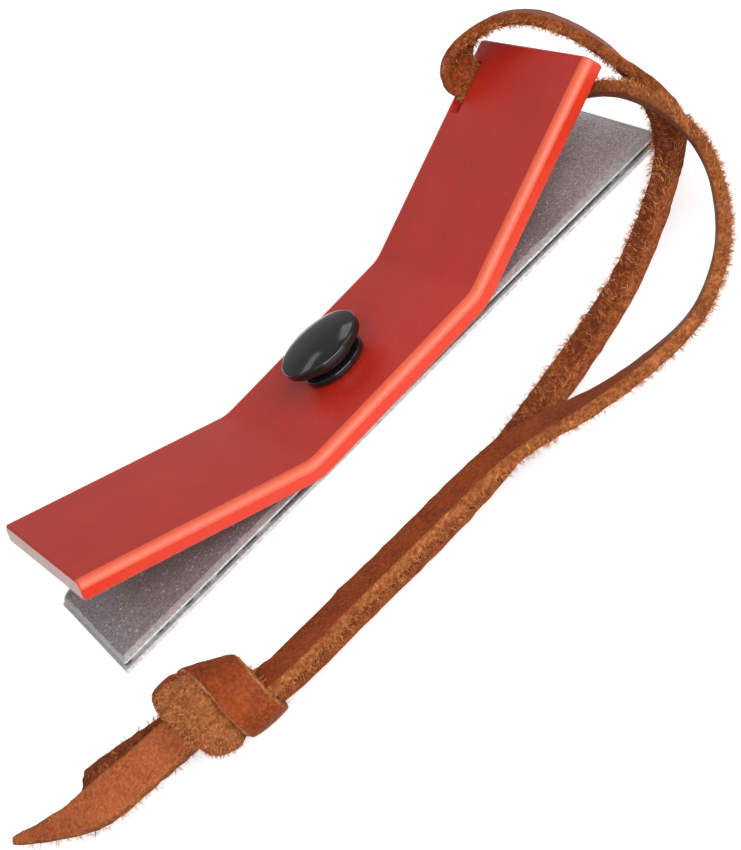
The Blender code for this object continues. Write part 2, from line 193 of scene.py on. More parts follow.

# Colours as linear triples: the darker end of a finish, then the lighter end
# The strip's reds are one plastic in lit and shaded copies: the top darker as painted shade, the side
# lighter as painted light, and the rounded top edge pale peach as a painted highlight.
RED_TOP_PAINTED_SHADE = (0.41, 0.016, 0.008), (0.58, 0.028, 0.014)
RED_EDGE_PAINTED_HIGHLIGHT = (0.66, 0.080, 0.028), (0.76, 0.105, 0.038)
RED_SIDE_PAINTED_LIGHT = (0.62, 0.030, 0.009), (0.72, 0.042, 0.013)
# The ends' pale pinkish red is a painted reflection of the bright surroundings.
RED_END_PAINTED_REFLECTION = (0.62, 0.36, 0.33), (0.80, 0.56, 0.52)
RED_DUST = (0.62, 0.20, 0.15)
BLACK = (0.006, 0.006, 0.007), (0.014, 0.014, 0.015)
GRIT = (0.11, 0.104, 0.103), (0.52, 0.49, 0.485)
GRIT_CLOUD = (0.27, 0.254, 0.252)
GRIT_SPARK = (0.85, 0.84, 0.82)
BARE_METAL = (0.44, 0.44, 0.435), (0.70, 0.70, 0.69)
CORE_LAYER = (0.018, 0.018, 0.018), (0.06, 0.058, 0.056)
ADHESIVE = (0.42, 0.42, 0.40)
STEEL = (0.42, 0.42, 0.43), (0.62, 0.62, 0.61)
BRASS = (0.55, 0.38, 0.13), (0.74, 0.54, 0.22)
GRAIN_DARK = (0.14, 0.021, 0.004), (0.26, 0.047, 0.010)
GRAIN_DARK_WORN = (0.36, 0.082, 0.021)
# The tails' grain is a paler copy of the strands' grain: its paleness is painted sheen.
GRAIN_PALE_PAINTED_SHEEN = (0.23, 0.048, 0.014), (0.41, 0.105, 0.034)
GRAIN_PALE_PAINTED_SHEEN_WORN = (0.52, 0.16, 0.060)
GRAIN_PIT = (0.11, 0.024, 0.007)
CUT_EDGE = (0.23, 0.046, 0.010), (0.68, 0.225, 0.066)
CUT_EDGE_DARK = (0.18, 0.028, 0.005), (0.56, 0.150, 0.038)
CUT_EDGE_PALE = (0.30, 0.085, 0.025), (0.72, 0.31, 0.12)
FLESH_DARK = (0.14, 0.018, 0.003), (0.52, 0.108, 0.019)
FLESH_PALE = (0.26, 0.066, 0.018), (0.66, 0.23, 0.068)
GRAIN_SHEEN = (0.70, 0.50, 0.38, 1)
FLESH_SHEEN = (0.85, 0.62, 0.42, 1)
FIBRE_TONES = (
    ("fibre_dark", (0.24, 0.050, 0.011)),
    ("fibre_brown", (0.49, 0.165, 0.048)),
    ("fibre_pale", (0.74, 0.31, 0.110)),
)
FLOOR_GREY = (0.80, 0.80, 0.80, 1)
WHITE = (1, 1, 1, 1)

# Sockets of a colour mix node
MIX_FACTOR, MIX_FIRST, MIX_SECOND, MIX_RESULT = 0, 6, 7, 2


# Node helpers

def new_material(name):
    made = bpy.data.materials.new(name)
    made.use_nodes = True
    return made, made.node_tree, made.node_tree.nodes["Principled BSDF"]


def set_inputs(tree, node, inputs):
    """Sets a node's inputs, and links those given as sockets."""
    for key, value in inputs.items():
        if isinstance(value, bpy.types.NodeSocket):
            tree.links.new(value, node.inputs[key])
        else:
            node.inputs[key].default_value = value


def add(tree, kind, inputs=None, **properties):
    """A node with its properties set, and its inputs set or linked."""
    node = tree.nodes.new(kind)
    for key, value in properties.items():
        setattr(node, key, value)
    set_inputs(tree, node, inputs or {})
    return node


def place(tree):
    return add(tree, "ShaderNodeTexCoord").outputs["Object"]


def speckle(tree, scale, detail=3.0, roughness=0.55, vector=None):
    """Noise from 0 to 1, its scale in lumps per metre."""
    inputs = {"Vector": vector or place(tree), "Scale": scale, "Detail": detail, "Roughness": roughness}
    return add(tree, "ShaderNodeTexNoise", inputs).outputs["Fac"]


def cells(tree, scale, vector=None):
    """Cells with a distance from their middle and a colour each, their scale in cells per metre."""
    return add(tree, "ShaderNodeTexVoronoi", {"Vector": vector or place(tree), "Scale": scale}).outputs


def ramp(tree, factor, low, high, start=0.0, end=1.0):
    """A value from low to high as the factor goes from start to end."""
    inputs = {"Value": factor, "From Min": start, "From Max": end, "To Min": low, "To Max": high}
    return add(tree, "ShaderNodeMapRange", inputs).outputs["Result"]


def math_node(tree, operation, a, b=0.0):
    return add(tree, "ShaderNodeMath", {0: a, 1: b}, operation=operation).outputs["Value"]


def blend(tree, factor, first, second):
    """A colour between two colours, given as linear triples or sockets."""
    first, second = ((*colour, 1) if isinstance(colour, tuple) else colour for colour in (first, second))
    inputs = {MIX_FACTOR: factor, MIX_FIRST: first, MIX_SECOND: second}
    return add(tree, "ShaderNodeMix", inputs, data_type="RGBA").outputs[MIX_RESULT]


def bump(tree, height, depth, strength=1.0):
    inputs = {"Height": height, "Distance": depth, "Strength": strength}
    return add(tree, "ShaderNodeBump", inputs).outputs["Normal"]


# Materials

def red_plastic(name, tones, roughness, gloss):
    """Moulded red plastic with a fine grain, faint cloudiness and a few pale specks of dust."""
    made, tree, shader = new_material(name)
    cloud = speckle(tree, 90, detail=4)
    fine = speckle(tree, 2600, detail=2)
    speck = ramp(tree, cells(tree, 420)["Distance"], 0.5, 0.0, start=0.03, end=0.06)
    mottle = ramp(tree, math_node(tree, "ADD", cloud, fine), 0.0, 1.0, start=0.6, end=1.4)
    set_inputs(tree, shader, {
        "Base Color": blend(tree, speck, blend(tree, mottle, *tones), RED_DUST),
        "Roughness": ramp(tree, fine, roughness - 0.06, roughness + 0.06),
        "Normal": bump(tree, fine, 0.012 * MM),
        "Specular IOR Level": gloss,
    })
    return made


def black_plastic():
    """Glossy black moulding with a trace of handling wear."""
    made, tree, shader = new_material("black_gloss")
    wear = speckle(tree, 420, detail=5)
    set_inputs(tree, shader, {
        "Base Color": blend(tree, wear, *BLACK),
        "Roughness": ramp(tree, wear, 0.06, 0.16, start=0.35, end=0.75),
        "Normal": bump(tree, speckle(tree, 2600, detail=2), 0.004 * MM),
    })
    return made


def file_place(tree):
    """Coordinates along and across the file, from its middle."""
    turn = add(tree, "ShaderNodeMapping", {"Vector": place(tree)}, vector_type="TEXTURE")
    set_inputs(tree, turn, {"Location": FILE_MIDDLE, "Rotation": (0, 0, FILE_TURN)})
    return turn.outputs["Vector"]


def bare_rim(tree, at, along, across):
    """1 on the plate's bare rim and 0 on its grit, with a wandering border between them."""
    end = math_node(tree, "SUBTRACT", FILE_LENGTH / 2 - PLATE_INSET, math_node(tree, "ABSOLUTE", along))
    side = math_node(tree, "SUBTRACT", FILE_WIDTH / 2, math_node(tree, "ABSOLUTE", across))
    edge = math_node(tree, "MINIMUM", math_node(tree, "MULTIPLY", end, END_RIM_NARROWER), side)
    wander = ramp(tree, speckle(tree, 700, detail=4, vector=at), -RIM_WANDER, RIM_WANDER, start=0.2, end=0.8)
    inner = math_node(tree, "ADD", edge, wander)
    return ramp(tree, inner, 1.0, 0.0, start=0.85 * RIM_WIDTH, end=1.15 * RIM_WIDTH)


def abrasive_plate():
    """Plated grit with sparkles, painted a little darker along most of the file as painted shade and much
    paler towards one end as painted light, and bare metal along the rim.
    """
    made, tree, shader = new_material("abrasive_grit")
    at = file_place(tree)
    split = add(tree, "ShaderNodeSeparateXYZ", {"Vector": at}).outputs
    rim = bare_rim(tree, at, split["X"], split["Y"])
    facets = cells(tree, 3600, vector=at)
    grit = speckle(tree, 4200, vector=at)
    cloud = ramp(tree, speckle(tree, 60, vector=at), 0.0, 0.3)
    grains = blend(tree, ramp(tree, grit, 0.0, 1.0, start=0.3, end=0.7), *GRIT)
    tone = blend(tree, cloud, grains, GRIT_CLOUD)
    # Painted shade and light: the grit's colour is scaled from 0.88 up to 2.4 along the file.
    lighten = ramp(tree, split["X"], 0.88, 2.4, start=PAINTED_LIGHT_FROM, end=PAINTED_LIGHT_TO)
    paler = add(tree, "ShaderNodeVectorMath", {0: tone, "Scale": lighten}, operation="SCALE").outputs["Vector"]
    shade = add(tree, "ShaderNodeSeparateColor", {"Color": facets["Color"]}).outputs["Red"]
    gritty = blend(tree, ramp(tree, shade, 0.0, 0.7, start=0.96, end=0.99), paler, GRIT_SPARK)
    scuffs = speckle(tree, 1900, detail=5, roughness=0.7, vector=at)
    bare = blend(tree, ramp(tree, scuffs, 0.0, 1.0, start=0.36, end=0.62), *BARE_METAL)
    rough = math_node(tree, "ADD", grit, math_node(tree, "MULTIPLY", facets["Distance"], 0.6))
    height = math_node(tree, "MULTIPLY", rough, ramp(tree, rim, 1.0, 0.15))
    set_inputs(tree, shader, {
        "Base Color": blend(tree, rim, gritty, bare),
        "Metallic": ramp(tree, rim, 0.0, 0.25),
        "Roughness": ramp(tree, rim, 0.62, 0.42),
        "Normal": bump(tree, height, 0.05 * MM, strength=0.7),
    })
    return made


def file_core():
    """Dark bonded layer with pale bits of adhesive along its edge."""
    made, tree, shader = new_material("file_core")
    fine = speckle(tree, 2800)
    pale = ramp(tree, speckle(tree, 420, detail=5), 0.0, 0.8, start=0.51, end=0.61)
    set_inputs(tree, shader, {
        "Base Color": blend(tree, pale, blend(tree, fine, *CORE_LAYER), ADHESIVE),
        "Roughness": ramp(tree, fine, 0.5, 0.8),
        "Normal": bump(tree, fine, 0.08 * MM),
    })
    return made


def metal(name, tones, roughness):
    """Turned metal with fine streaks round its axis."""
    made, tree, shader = new_material(name)
    stretch = add(tree, "ShaderNodeMapping", {"Vector": place(tree), "Scale": (1, 1, 12)})
    streak = speckle(tree, 900, detail=4, vector=stretch.outputs["Vector"])
    set_inputs(tree, shader, {
        "Base Color": blend(tree, streak, *tones),
        "Roughness": ramp(tree, streak, roughness - 0.08, roughness + 0.08),
        "Normal": bump(tree, streak, 0.02 * MM),
        "Metallic": 1.0,
    })
    return made


def leather_grain(name, tones, lighten):
    """Smooth reddish side of the lace, with pores, mottling and a soft waxy sheen."""
    made, tree, shader = new_material(name)
    mottle = speckle(tree, 260, detail=5, roughness=0.6)
    fine = speckle(tree, 2400, detail=4, roughness=0.65)
    pit = ramp(tree, cells(tree, 1900)["Distance"], 1.0, 0.0, start=0.05, end=0.22)
    base = blend(tree, ramp(tree, mottle, 0.0, 1.0, start=0.3, end=0.72), *tones)
    tone = blend(tree, ramp(tree, fine, 0.0, 0.75, start=0.42, end=0.68), base, lighten)
    height = math_node(tree, "SUBTRACT", fine, math_node(tree, "MULTIPLY", pit, 0.6))
    set_inputs(tree, shader, {
        "Base Color": blend(tree, math_node(tree, "MULTIPLY", pit, 0.75), tone, GRAIN_PIT),
        "Roughness": ramp(tree, mottle, 0.46, 0.66),
        "Normal": bump(tree, height, 0.07 * MM, strength=0.7),
        "Sheen Weight": 0.02,
        "Sheen Roughness": 0.45,
        "Sheen Tint": GRAIN_SHEEN,
        "Specular IOR Level": 0.10,
    })
    return made


def leather_flesh(name, tones):
    """Fibrous side or cut edge of the lace: tangled pale fibres over dark gaps."""
    made, tree, shader = new_material(name)
    tangle = speckle(tree, 2100, detail=6, roughness=0.7)
    clump = math_node(tree, "MULTIPLY", speckle(tree, 900), 0.3)
    strands = ramp(tree, math_node(tree, "ADD", tangle, clump), 0.0, 1.0, start=0.50, end=0.80)
    patch = ramp(tree, speckle(tree, 330, detail=4), 0.45, 0.0, start=0.35, end=0.6)
    deep = tuple(0.7 * c for c in tones[0])
    set_inputs(tree, shader, {
        "Base Color": blend(tree, patch, blend(tree, strands, *tones), deep),
        "Roughness": 0.9,
        "Specular IOR Level": 0.15,
        "Sheen Weight": 0.06,
        "Sheen Roughness": 0.6,
        "Sheen Tint": FLESH_SHEEN,
        "Normal": bump(tree, strands, 0.25 * MM, strength=0.9),
    })
    return made


def leather_fibre(name, colour):
    made, tree, shader = new_material(name)
    set_inputs(tree, shader, {"Base Color": (*colour, 1), "Roughness": 0.8, "Specular IOR Level": 0.2})
    return made


# Mesh helpers

def make_object(name, shape, finishes, sharp_angle=35):
    mesh = bpy.data.meshes.new(name)
    shape.to_mesh(mesh)
    shape.free()
    mesh.shade_smooth()
    mesh.set_sharp_from_angle(angle=math.radians(sharp_angle))
    for finish in finishes:
        mesh.materials.append(finish)
    made = bpy.data.objects.new(name, mesh)
    bpy.context.collection.objects.link(made)
    return made


def tube(shape, rings, slots=None):
    """Quads between rings of equal length, with a material slot for each side, closed at both ends."""
    loops = [[shape.verts.new(point) for point in ring] for ring in rings]
    count = len(loops[0])
    for near, far in zip(loops, loops[1:]):
        for i in range(count):
            j = (i + 1) % count
            face = shape.faces.new((near[i], near[j], far[j], far[i]))
            face.material_index = slots[i] if slots else 0
    for loop in (loops[0], loops[-1]):
        shape.faces.new(loop).material_index = slots[-1] if slots else 0


def arc(centre, radius, start, end, steps):
    turns = [start + (end - start) * k / steps for k in range(steps + 1)]
    return [(centre[0] + radius * math.cos(a), centre[1] + radius * math.sin(a)) for a in turns]


def rounded_rectangle(length, width, back, front, steps):
    """Outline with one corner radius at the back and one at the front."""
    outline = []
    for k, (sx, sy) in enumerate(((1, 1), (-1, 1), (-1, -1), (1, -1))):
        radius = back if sy > 0 else front
        start = k * math.pi / 2
        centre = (sx * (length / 2 - radius), sy * (width / 2 - radius))
        outline += arc(centre, radius, start, start + math.pi / 2, steps)
    return outline


def turned(name, profile, finish):
    """A solid of revolution about the pivot. The profile's points go round the section once."""
    shape = bmesh.new()
    angles = [2 * math.pi * k / TURNED_SEGMENTS for k in range(TURNED_SEGMENTS)]
    columns = []
    for radius, height in profile:
        if radius == 0:
            columns.append([shape.verts.new(PIVOT + Vector((0, 0, height)))])
            continue
        ring = [PIVOT + Vector((radius * math.cos(a), radius * math.sin(a), height)) for a in angles]
        columns.append([shape.verts.new(point) for point in ring])
    for i, low in enumerate(columns):
        high = columns[(i + 1) % len(columns)]
        if len(low) == 1 and len(high) == 1:
            continue
        for k in range(TURNED_SEGMENTS):
            n = (k + 1) % TURNED_SEGMENTS
            corners = [low[k % len(low)], low[n % len(low)], high[n % len(high)], high[k % len(high)]]
            shape.faces.new(list(dict.fromkeys(corners)))
    bmesh.ops.recalc_face_normals(shape, faces=shape.faces)
    return make_object(name, shape, [finish], TURNED_SHARP)


def closed_tube(name, rings, finishes=(), sharp_angle=35):
    shape = bmesh.new()
    tube(shape, rings)
    bmesh.ops.recalc_face_normals(shape, faces=shape.faces)
    return make_object(name, shape, finishes, sharp_angle)


def round_cutter(radius, low, high):
    """A rod on the pivot's axis, to bore a hole with."""
    outline = arc((0, 0), radius, 0, 2 * math.pi, BORE_SEGMENTS)[:-1]
    rings = [[PIVOT + Vector((x, y, z)) for x, y in outline] for z in (low, high)]
    return closed_tube("round_cutter", rings)


def bored(target, cutters, sharp_angle):
    """Cuts the target with the cutters and keeps only the finished mesh."""
    for cutter in cutters:
        modifier = target.modifiers.new(cutter.name, "BOOLEAN")
        modifier.operation = "DIFFERENCE"
        modifier.solver = "EXACT"
        modifier.object = cutter
    depsgraph = bpy.context.evaluated_depsgraph_get()
    mesh = bpy.data.meshes.new_from_object(target.evaluated_get(depsgraph))
    target.modifiers.clear()
    target.data = mesh
    mesh.set_sharp_from_angle(angle=math.radians(sharp_angle))
    for cutter in cutters:
        bpy.data.objects.remove(cutter, do_unlink=True)
    return target


def settle(piece, body, slot, *nodes):
    """Rides a piece on its body and hides the imported pieces it stands in for. The finish slot it is given
    is not used.
    """
    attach(piece, body)
    if nodes:
        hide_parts(*nodes)
    return piece


# Holder strip

def wing_point(along, height):
    """A place on the right wing, along it from its bend and up from its underside."""
    x = STRIP_CENTRE_LENGTH / 2 + along * math.cos(WING_ANGLE) - height * math.sin(WING_ANGLE)
    z = STRIP_BASE + along * math.sin(WING_ANGLE) + height * math.cos(WING_ANGLE)
    return MIDDLE + Vector((x, 0, z))


def strip_stations():
    """Points along the strip's underside with the normal there, from left to right."""
    setback = BEND_RADIUS * math.tan(WING_ANGLE / 2)
    centre = MIDDLE + Vector((STRIP_CENTRE_LENGTH / 2 - setback, 0, STRIP_BASE + BEND_RADIUS))
    half = []
    for k in range(BEND_STEPS + 1):
        a = WING_ANGLE * k / BEND_STEPS
        normal = Vector((-math.sin(a), 0, math.cos(a)))
        half.append((centre - normal * BEND_RADIUS, normal))
    tip = half[-1][1]
    half.append((wing_point(WING_LENGTH - END_EDGE, 0), tip))
    half.append((wing_point(WING_LENGTH, 0), tip))
    left = []
    for point, normal in reversed(half):
        left.append((Vector((2 * MIDDLE.x - point.x, point.y, point.z)), Vector((-normal.x, 0, normal.z))))
    return left + half


def strip_section(inset):
    half = STRIP_WIDTH / 2 - inset
    low, high = inset, STRIP_THICKNESS - inset
    base, top = LOWER_EDGE_RADIUS, TOP_EDGE_RADIUS
    section = arc((half - base, low + base), base, -math.pi / 2, 0, LOWER_EDGE_STEPS)
    section += arc((half - top, high - top), top, 0, math.pi / 2, TOP_EDGE_STEPS)
    return section + [(-y, h) for y, h in reversed(section)]


def holder_strip():
    """The bent strip, finished by zone, with the lace slot and the screw hole. Its reds are one plastic with
    painted light: a darker top as painted shade, a lighter side as painted light, a pale peach painted
    highlight on the rounded top edge and a pale painted reflection on the ends.
    """
    finishes = [
        red_plastic("red_satin_painted_shade", RED_TOP_PAINTED_SHADE, roughness=0.40, gloss=0.5),
        red_plastic("red_edge_painted_highlight", RED_EDGE_PAINTED_HIGHLIGHT, roughness=0.48, gloss=0.8),
        red_plastic("red_side_painted_light", RED_SIDE_PAINTED_LIGHT, roughness=0.34, gloss=0.5),
        red_plastic("red_end_painted_reflection", RED_END_PAINTED_REFLECTION, roughness=0.45, gloss=0.5),
    ]
    flat, edge, side, end_reflection = range(len(finishes))
    stations = strip_stations()
    last = len(stations) - 1
    rings = []
    for k, (point, normal) in enumerate(stations):
        section = strip_section(END_EDGE if k in (0, last) else 0)
        rings.append([point + Vector((0, y, 0)) + normal * h for y, h in section])
    # The lower edge and side take the side's painted light, the rounded top edge the painted highlight, and
    # the top the painted shade.
    half = [side] * (LOWER_EDGE_STEPS + 1) + [edge] * TOP_EDGE_STEPS
    shape = bmesh.new()
    tube(shape, rings, half + [flat] + half[::-1] + [flat])
    for face in shape.faces:
        # The end caps take the pale painted reflection.
        if len(face.verts) > 4:
            face.material_index = end_reflection
    bmesh.ops.recalc_face_normals(shape, faces=shape.faces)
    made = make_object("holder_moulding", shape, finishes, STRIP_SHARP)
    hole = round_cutter(HOLE_RADIUS, STRIP_BASE - STRIP_THICKNESS, STRIP_BASE + 2 * STRIP_THICKNESS)
    return bored(made, [slot_cutter(), hole], STRIP_SHARP)


def slot_centre(height):
    along = WING_LENGTH - SLOT_FROM_WING_END - SLOT_LENGTH / 2
    back = STRIP_WIDTH / 2 - SLOT_WEB - SLOT_WIDTH / 2
    return wing_point(along, height) + Vector((0, back, 0))


def slot_cutter():
    corner = SLOT_CORNER_RADIUS
    outline = rounded_rectangle(SLOT_LENGTH, SLOT_WIDTH, corner, corner, SLOT_CORNER_STEPS)
    tilt = Matrix.Rotation(-WING_ANGLE, 3, "Y")
    rings = []
    for height in (-STRIP_THICKNESS, 2 * STRIP_THICKNESS):
        rings.append([slot_centre(height) + tilt @ Vector((x, y, 0)) for x, y in outline])
    return closed_tube("slot_cutter", rings)


# File

def upper_plate(finish):
    """The upper plate, its edge rolled down a little, with the hole for the screw."""
    base, top = FILE_LOW.z, FILE_HIGH.z
    rows = [(0, base), (0, top - RIM_DROP)]
    for k in range(1, RIM_STEPS + 1):
        share = k / RIM_STEPS
        rows.append((RIM_WIDTH * share ** RIM_POWER, top - RIM_DROP * (1 - share) ** RIM_POWER))
    turn = Matrix.Rotation(FILE_TURN, 3, "Z")
    rings = []
    for inset, z in rows:
        length = FILE_LENGTH - 2 * PLATE_INSET - 2 * inset
        back = max(PLATE_BACK_CORNER - inset, PLATE_LEAST_CORNER)
        front = max(PLATE_FRONT_CORNER - inset, PLATE_LEAST_CORNER)
        outline = rounded_rectangle(length, FILE_WIDTH - 2 * inset, back, front, PLATE_CORNER_STEPS)
        rings.append([FILE_MIDDLE + turn @ Vector((x, y, z)) for x, y in outline])
    made = closed_tube("grit_plate", rings, [finish], PLATE_SHARP)
    return bored(made, [round_cutter(PLATE_HOLE, base - CUTTER_SPARE, top + CUTTER_SPARE)], PLATE_SHARP)


# Knob and washer

def knob_head(finish):
    """A bored neck under a mushroom head with a short skirt and a low dome."""
    neck_top = KNOB_BASE + NECK_HEIGHT
    bore_top = KNOB_BASE + KNOB_BORE_DEPTH
    round_over = HEAD_RIM / 2
    rim_high = neck_top + HEAD_FLARE + round_over
    rim_low = rim_high - HEAD_SKIRT
    profile = [(0, bore_top), (KNOB_BORE, bore_top), (KNOB_BORE, KNOB_BASE)]
    foot = (NECK_RADIUS - NECK_EDGE, KNOB_BASE + NECK_EDGE)
    profile += arc(foot, NECK_EDGE, -math.pi / 2, 0, NECK_EDGE_STEPS)
    profile += [(NECK_RADIUS, neck_top)]
    profile += arc((HEAD_RADIUS - round_over, rim_low), round_over, -math.pi / 2, 0, EDGE_STEPS)
    profile += arc((HEAD_RADIUS - round_over, rim_high), round_over, 0, math.pi / 3, EDGE_STEPS)
    radius, height = profile[-1]
    for k in range(1, DOME_STEPS):
        reach = 1 - k / DOME_STEPS
        profile.append((radius * reach, height + HEAD_DOME * (1 - reach ** DOME_POWER)))
    profile.append((0, height + HEAD_DOME))
    return turned("knob_head", profile, finish)


def washer(finish):
    high = WASHER_BASE + WASHER_THICKNESS
    outer = WASHER_RADIUS - WASHER_EDGE
    profile = [(HOLE_RADIUS, WASHER_BASE)]
    profile += arc((outer, WASHER_BASE + WASHER_EDGE), WASHER_EDGE, -math.pi / 2, 0, EDGE_STEPS)
    profile += arc((outer, high - WASHER_EDGE), WASHER_EDGE, 0, math.pi / 2, EDGE_STEPS)
    profile += [(HOLE_RADIUS, high)]
    return turned("washer_ring", profile, finish)


# Lanyard route: points in millimetres from the strip's middle, and the direction across the lace.
# It leaves the knot, loops right, passes under the wing and up through the slot, and returns.
LOOP_TO_SLOT = [
    ((-39.8, -46.0, 5.1), (0.06, 1.00, 0.00)),
    ((-28.1, -46.8, 5.1), (0.07, 1.00, 0.00)),
    ((-20.9, -47.4, 5.1), (0.08, 1.00, 0.00)),
    ((-13.1, -48.0, 5.1), (0.08, 1.00, 0.00)),
    ((-4.7, -48.8, 5.1), (0.22, 0.97, 0.00)),
    ((1.1, -51.7, 5.2), (0.50, 0.85, -0.09)),
    ((6.2, -55.6, 5.2), (0.44, 0.86, -0.24)),
    ((11.3, -57.7, 4.9), (0.17, 0.93, -0.32)),
    ((16.3, -58.3, 4.4), (-0.04, 0.93, -0.37)),
    ((21.6, -57.8, 3.9), (-0.27, 0.84, -0.47)),
    ((26.9, -55.3, 3.6), (-0.42, 0.66, -0.63)),
    ((33.1, -50.6, 3.7), (-0.41, 0.50, -0.76)),
    ((38.3, -45.0, 4.5), (-0.29, 0.36, -0.89)),
    ((42.9, -38.6, 6.1), (-0.11, 0.28, -0.95)),
    ((45.8, -31.9, 8.2), (0.10, 0.19, -0.98)),
    ((47.5, -23.7, 9.7), (0.27, 0.07, -0.96)),
    ((48.2, -15.0, 10.0), (0.49, 0.01, -0.87)),
    ((47.6, -7.5, 9.5), (0.79, 0.12, -0.61)),
    ((45.5, 0.3, 8.7), (0.95, 0.26, -0.16)),
    ((44.0, 6.4, 8.4), (0.98, 0.19, 0.10)),
]
SLOT_TO_KNOT = [
    ((42.1, 12.3, 17.9), (0.94, 0.12, 0.05)),
    ((43.9, 11.6, 19.4), (0.80, 0.45, -0.30)),
    ((46.3, 9.6, 20.1), (0.73, 0.57, -0.38)),
    ((48.5, 6.6, 20.2), (0.74, 0.51, -0.44)),
    ((50.7, 2.4, 19.1), (0.65, 0.53, -0.55)),
    ((52.2, -1.8, 16.3), (0.53, 0.63, -0.57)),
    ((53.0, -5.4, 12.6), (0.46, 0.63, -0.63)),
    ((52.8, -9.0, 9.0), (0.25, 0.50, -0.83)),
    ((51.4, -14.2, 5.8), (-0.25, 0.55, -0.80)),
    ((47.7, -21.8, 4.4), (-0.66, 0.62, -0.36)),
    ((42.9, -27.4, 4.4), (-0.60, 0.73, -0.34)),
    ((38.5, -30.9, 4.2), (-0.52, 0.80, -0.32)),
    ((32.3, -35.1, 3.9), (-0.48, 0.83, -0.26)),
    ((24.5, -39.2, 3.6), (-0.39, 0.91, -0.15)),
    ((17.5, -41.6, 3.4), (-0.28, 0.96, -0.03)),
    ((10.1, -43.4, 3.2), (-0.22, 0.97, 0.02)),
    ((3.2, -44.9, 3.2), (-0.18, 0.98, 0.00)),
    ((-4.8, -46.2, 3.1), (-0.10, 0.99, 0.00)),
    ((-12.8, -46.6, 3.1), (0.00, 1.00, 0.00)),
    ((-20.8, -46.2, 3.1), (0.07, 1.00, 0.00)),
    ((-28.0, -45.6, 3.1), (0.07, 1.00, 0.00)),
    ((-39.8, -44.6, 3.1), (0.08, 1.00, 0.00)),
]

# Tails: the same, with the share of the lace's width that is left there
LONG_TAIL = [
    ((-52.8, -36.5, 3.5), (-0.44, -0.69, -0.57), 1.0),
    ((-58.4, -35.2, 3.4), (-0.40, -0.71, -0.57), 1.0),
    ((-64.6, -32.8, 2.9), (-0.40, -0.72, -0.55), 1.0),
    ((-69.8, -28.2, 2.2), (-0.40, -0.74, -0.50), 0.6),
    ((-75.0, -21.4, 1.5), (-0.42, -0.75, -0.45), 0.2),
]
SHORT_TAIL = [
    ((-51.6, -33.0, 2.6), (-0.50, -0.86, 0.00), 1.0),
    ((-57.8, -28.8, 2.2), (-0.50, -0.86, 0.00), 1.0),
    ((-64.2, -24.6, 1.6), (-0.50, -0.86, 0.00), 0.8),
]

# Ends of the strands and tails inside the knot
FRONT_INSIDE = ((-45.5, -42.5, 4.6), (0.30, 0.95, 0.00))
REAR_INSIDE = ((-45.5, -42.0, 3.6), (0.30, 0.95, 0.00))
LONG_INSIDE = ((-48.5, -39.5, 4.2), (-0.44, -0.69, -0.57), 1.0)
SHORT_INSIDE = ((-46.7, -39.9, 3.6), (-0.50, -0.86, 0.00), 0.7)

# Knot: millimetres along its axis towards the strands, down its lower front, and out of its upper front.
# The band starts and ends in the folded lace, at the back.
KNOT_AXIS = -Vector((math.cos(KNOT_HEADING), math.sin(KNOT_HEADING), 0))
KNOT_BACK = Vector((-KNOT_AXIS.y, KNOT_AXIS.x, 0))
KNOT_DOWN = -KNOT_BACK * math.sin(KNOT_LEAN) - Vector((0, 0, math.cos(KNOT_LEAN)))
KNOT_OUT = -KNOT_BACK * math.cos(KNOT_LEAN) + Vector((0, 0, math.sin(KNOT_LEAN)))
KNOT_BAND = [
    ((-1.0, -1.4, -2.4), (0.90, 0.42, 0.00)),
    ((-0.8, -3.0, -3.9), (0.90, 0.42, 0.00)),
    ((0.2, -4.4, -2.4), (0.90, 0.42, 0.00)),
    ((1.2, -4.7, -0.6), (0.90, 0.42, 0.00)),
    ((2.1, -4.0, 1.5), (0.92, 0.36, 0.10)),
    ((2.9, -2.6, 3.5), (0.97, 0.20, 0.10)),
    ((3.1, -0.6, 4.6), (1.00, 0.05, 0.12)),
    ((3.1, 1.8, 4.6), (1.00, 0.00, 0.12)),
    ((3.2, 3.8, 3.6), (1.00, 0.00, 0.10)),
    ((3.3, 4.5, 1.7), (1.00, 0.00, 0.05)),
    ((3.2, 3.9, -0.3), (1.00, 0.00, 0.00)),
    ((3.1, 2.4, -2.6), (1.00, 0.00, 0.00)),
    ((2.5, 0.6, -4.0), (1.00, 0.10, 0.00)),
    ((1.7, -1.0, -4.0), (0.97, 0.20, 0.00)),
    ((1.0, -1.4, -2.2), (0.95, 0.30, 0.00)),
]


def slot_passage():
    """Route points through the slot, square to the wing, at the slot's outer end."""
    along = WING_LENGTH - SLOT_FROM_WING_END - LACE_IN_SLOT - LACE_WIDTH / 2
    back = slot_centre(0).y - MIDDLE.y
    across = Vector((math.cos(WING_ANGLE), 0, math.sin(WING_ANGLE)))
    heights = (-SLOT_LEAD, 0, STRIP_THICKNESS / 2, STRIP_THICKNESS, STRIP_THICKNESS + SLOT_LEAD)
    offsets = (-SLOT_SWAY, 0, 0, 0, SLOT_SWAY)
    return [(wing_point(along, h) + Vector((0, back + dy, 0)), across) for h, dy in zip(heights, offsets)]


def smooth(values, index, share):
    """Catmull-Rom value between values[index] and the next one."""
    a = values[max(index - 1, 0)]
    b = values[index]
    c = values[index + 1]
    d = values[min(index + 2, len(values) - 1)]
    bend = (2 * a - 5 * b + 4 * c - d) * share ** 2 + (3 * b - a - 3 * c + d) * share ** 3
    return b + 0.5 * ((c - a) * share + bend)


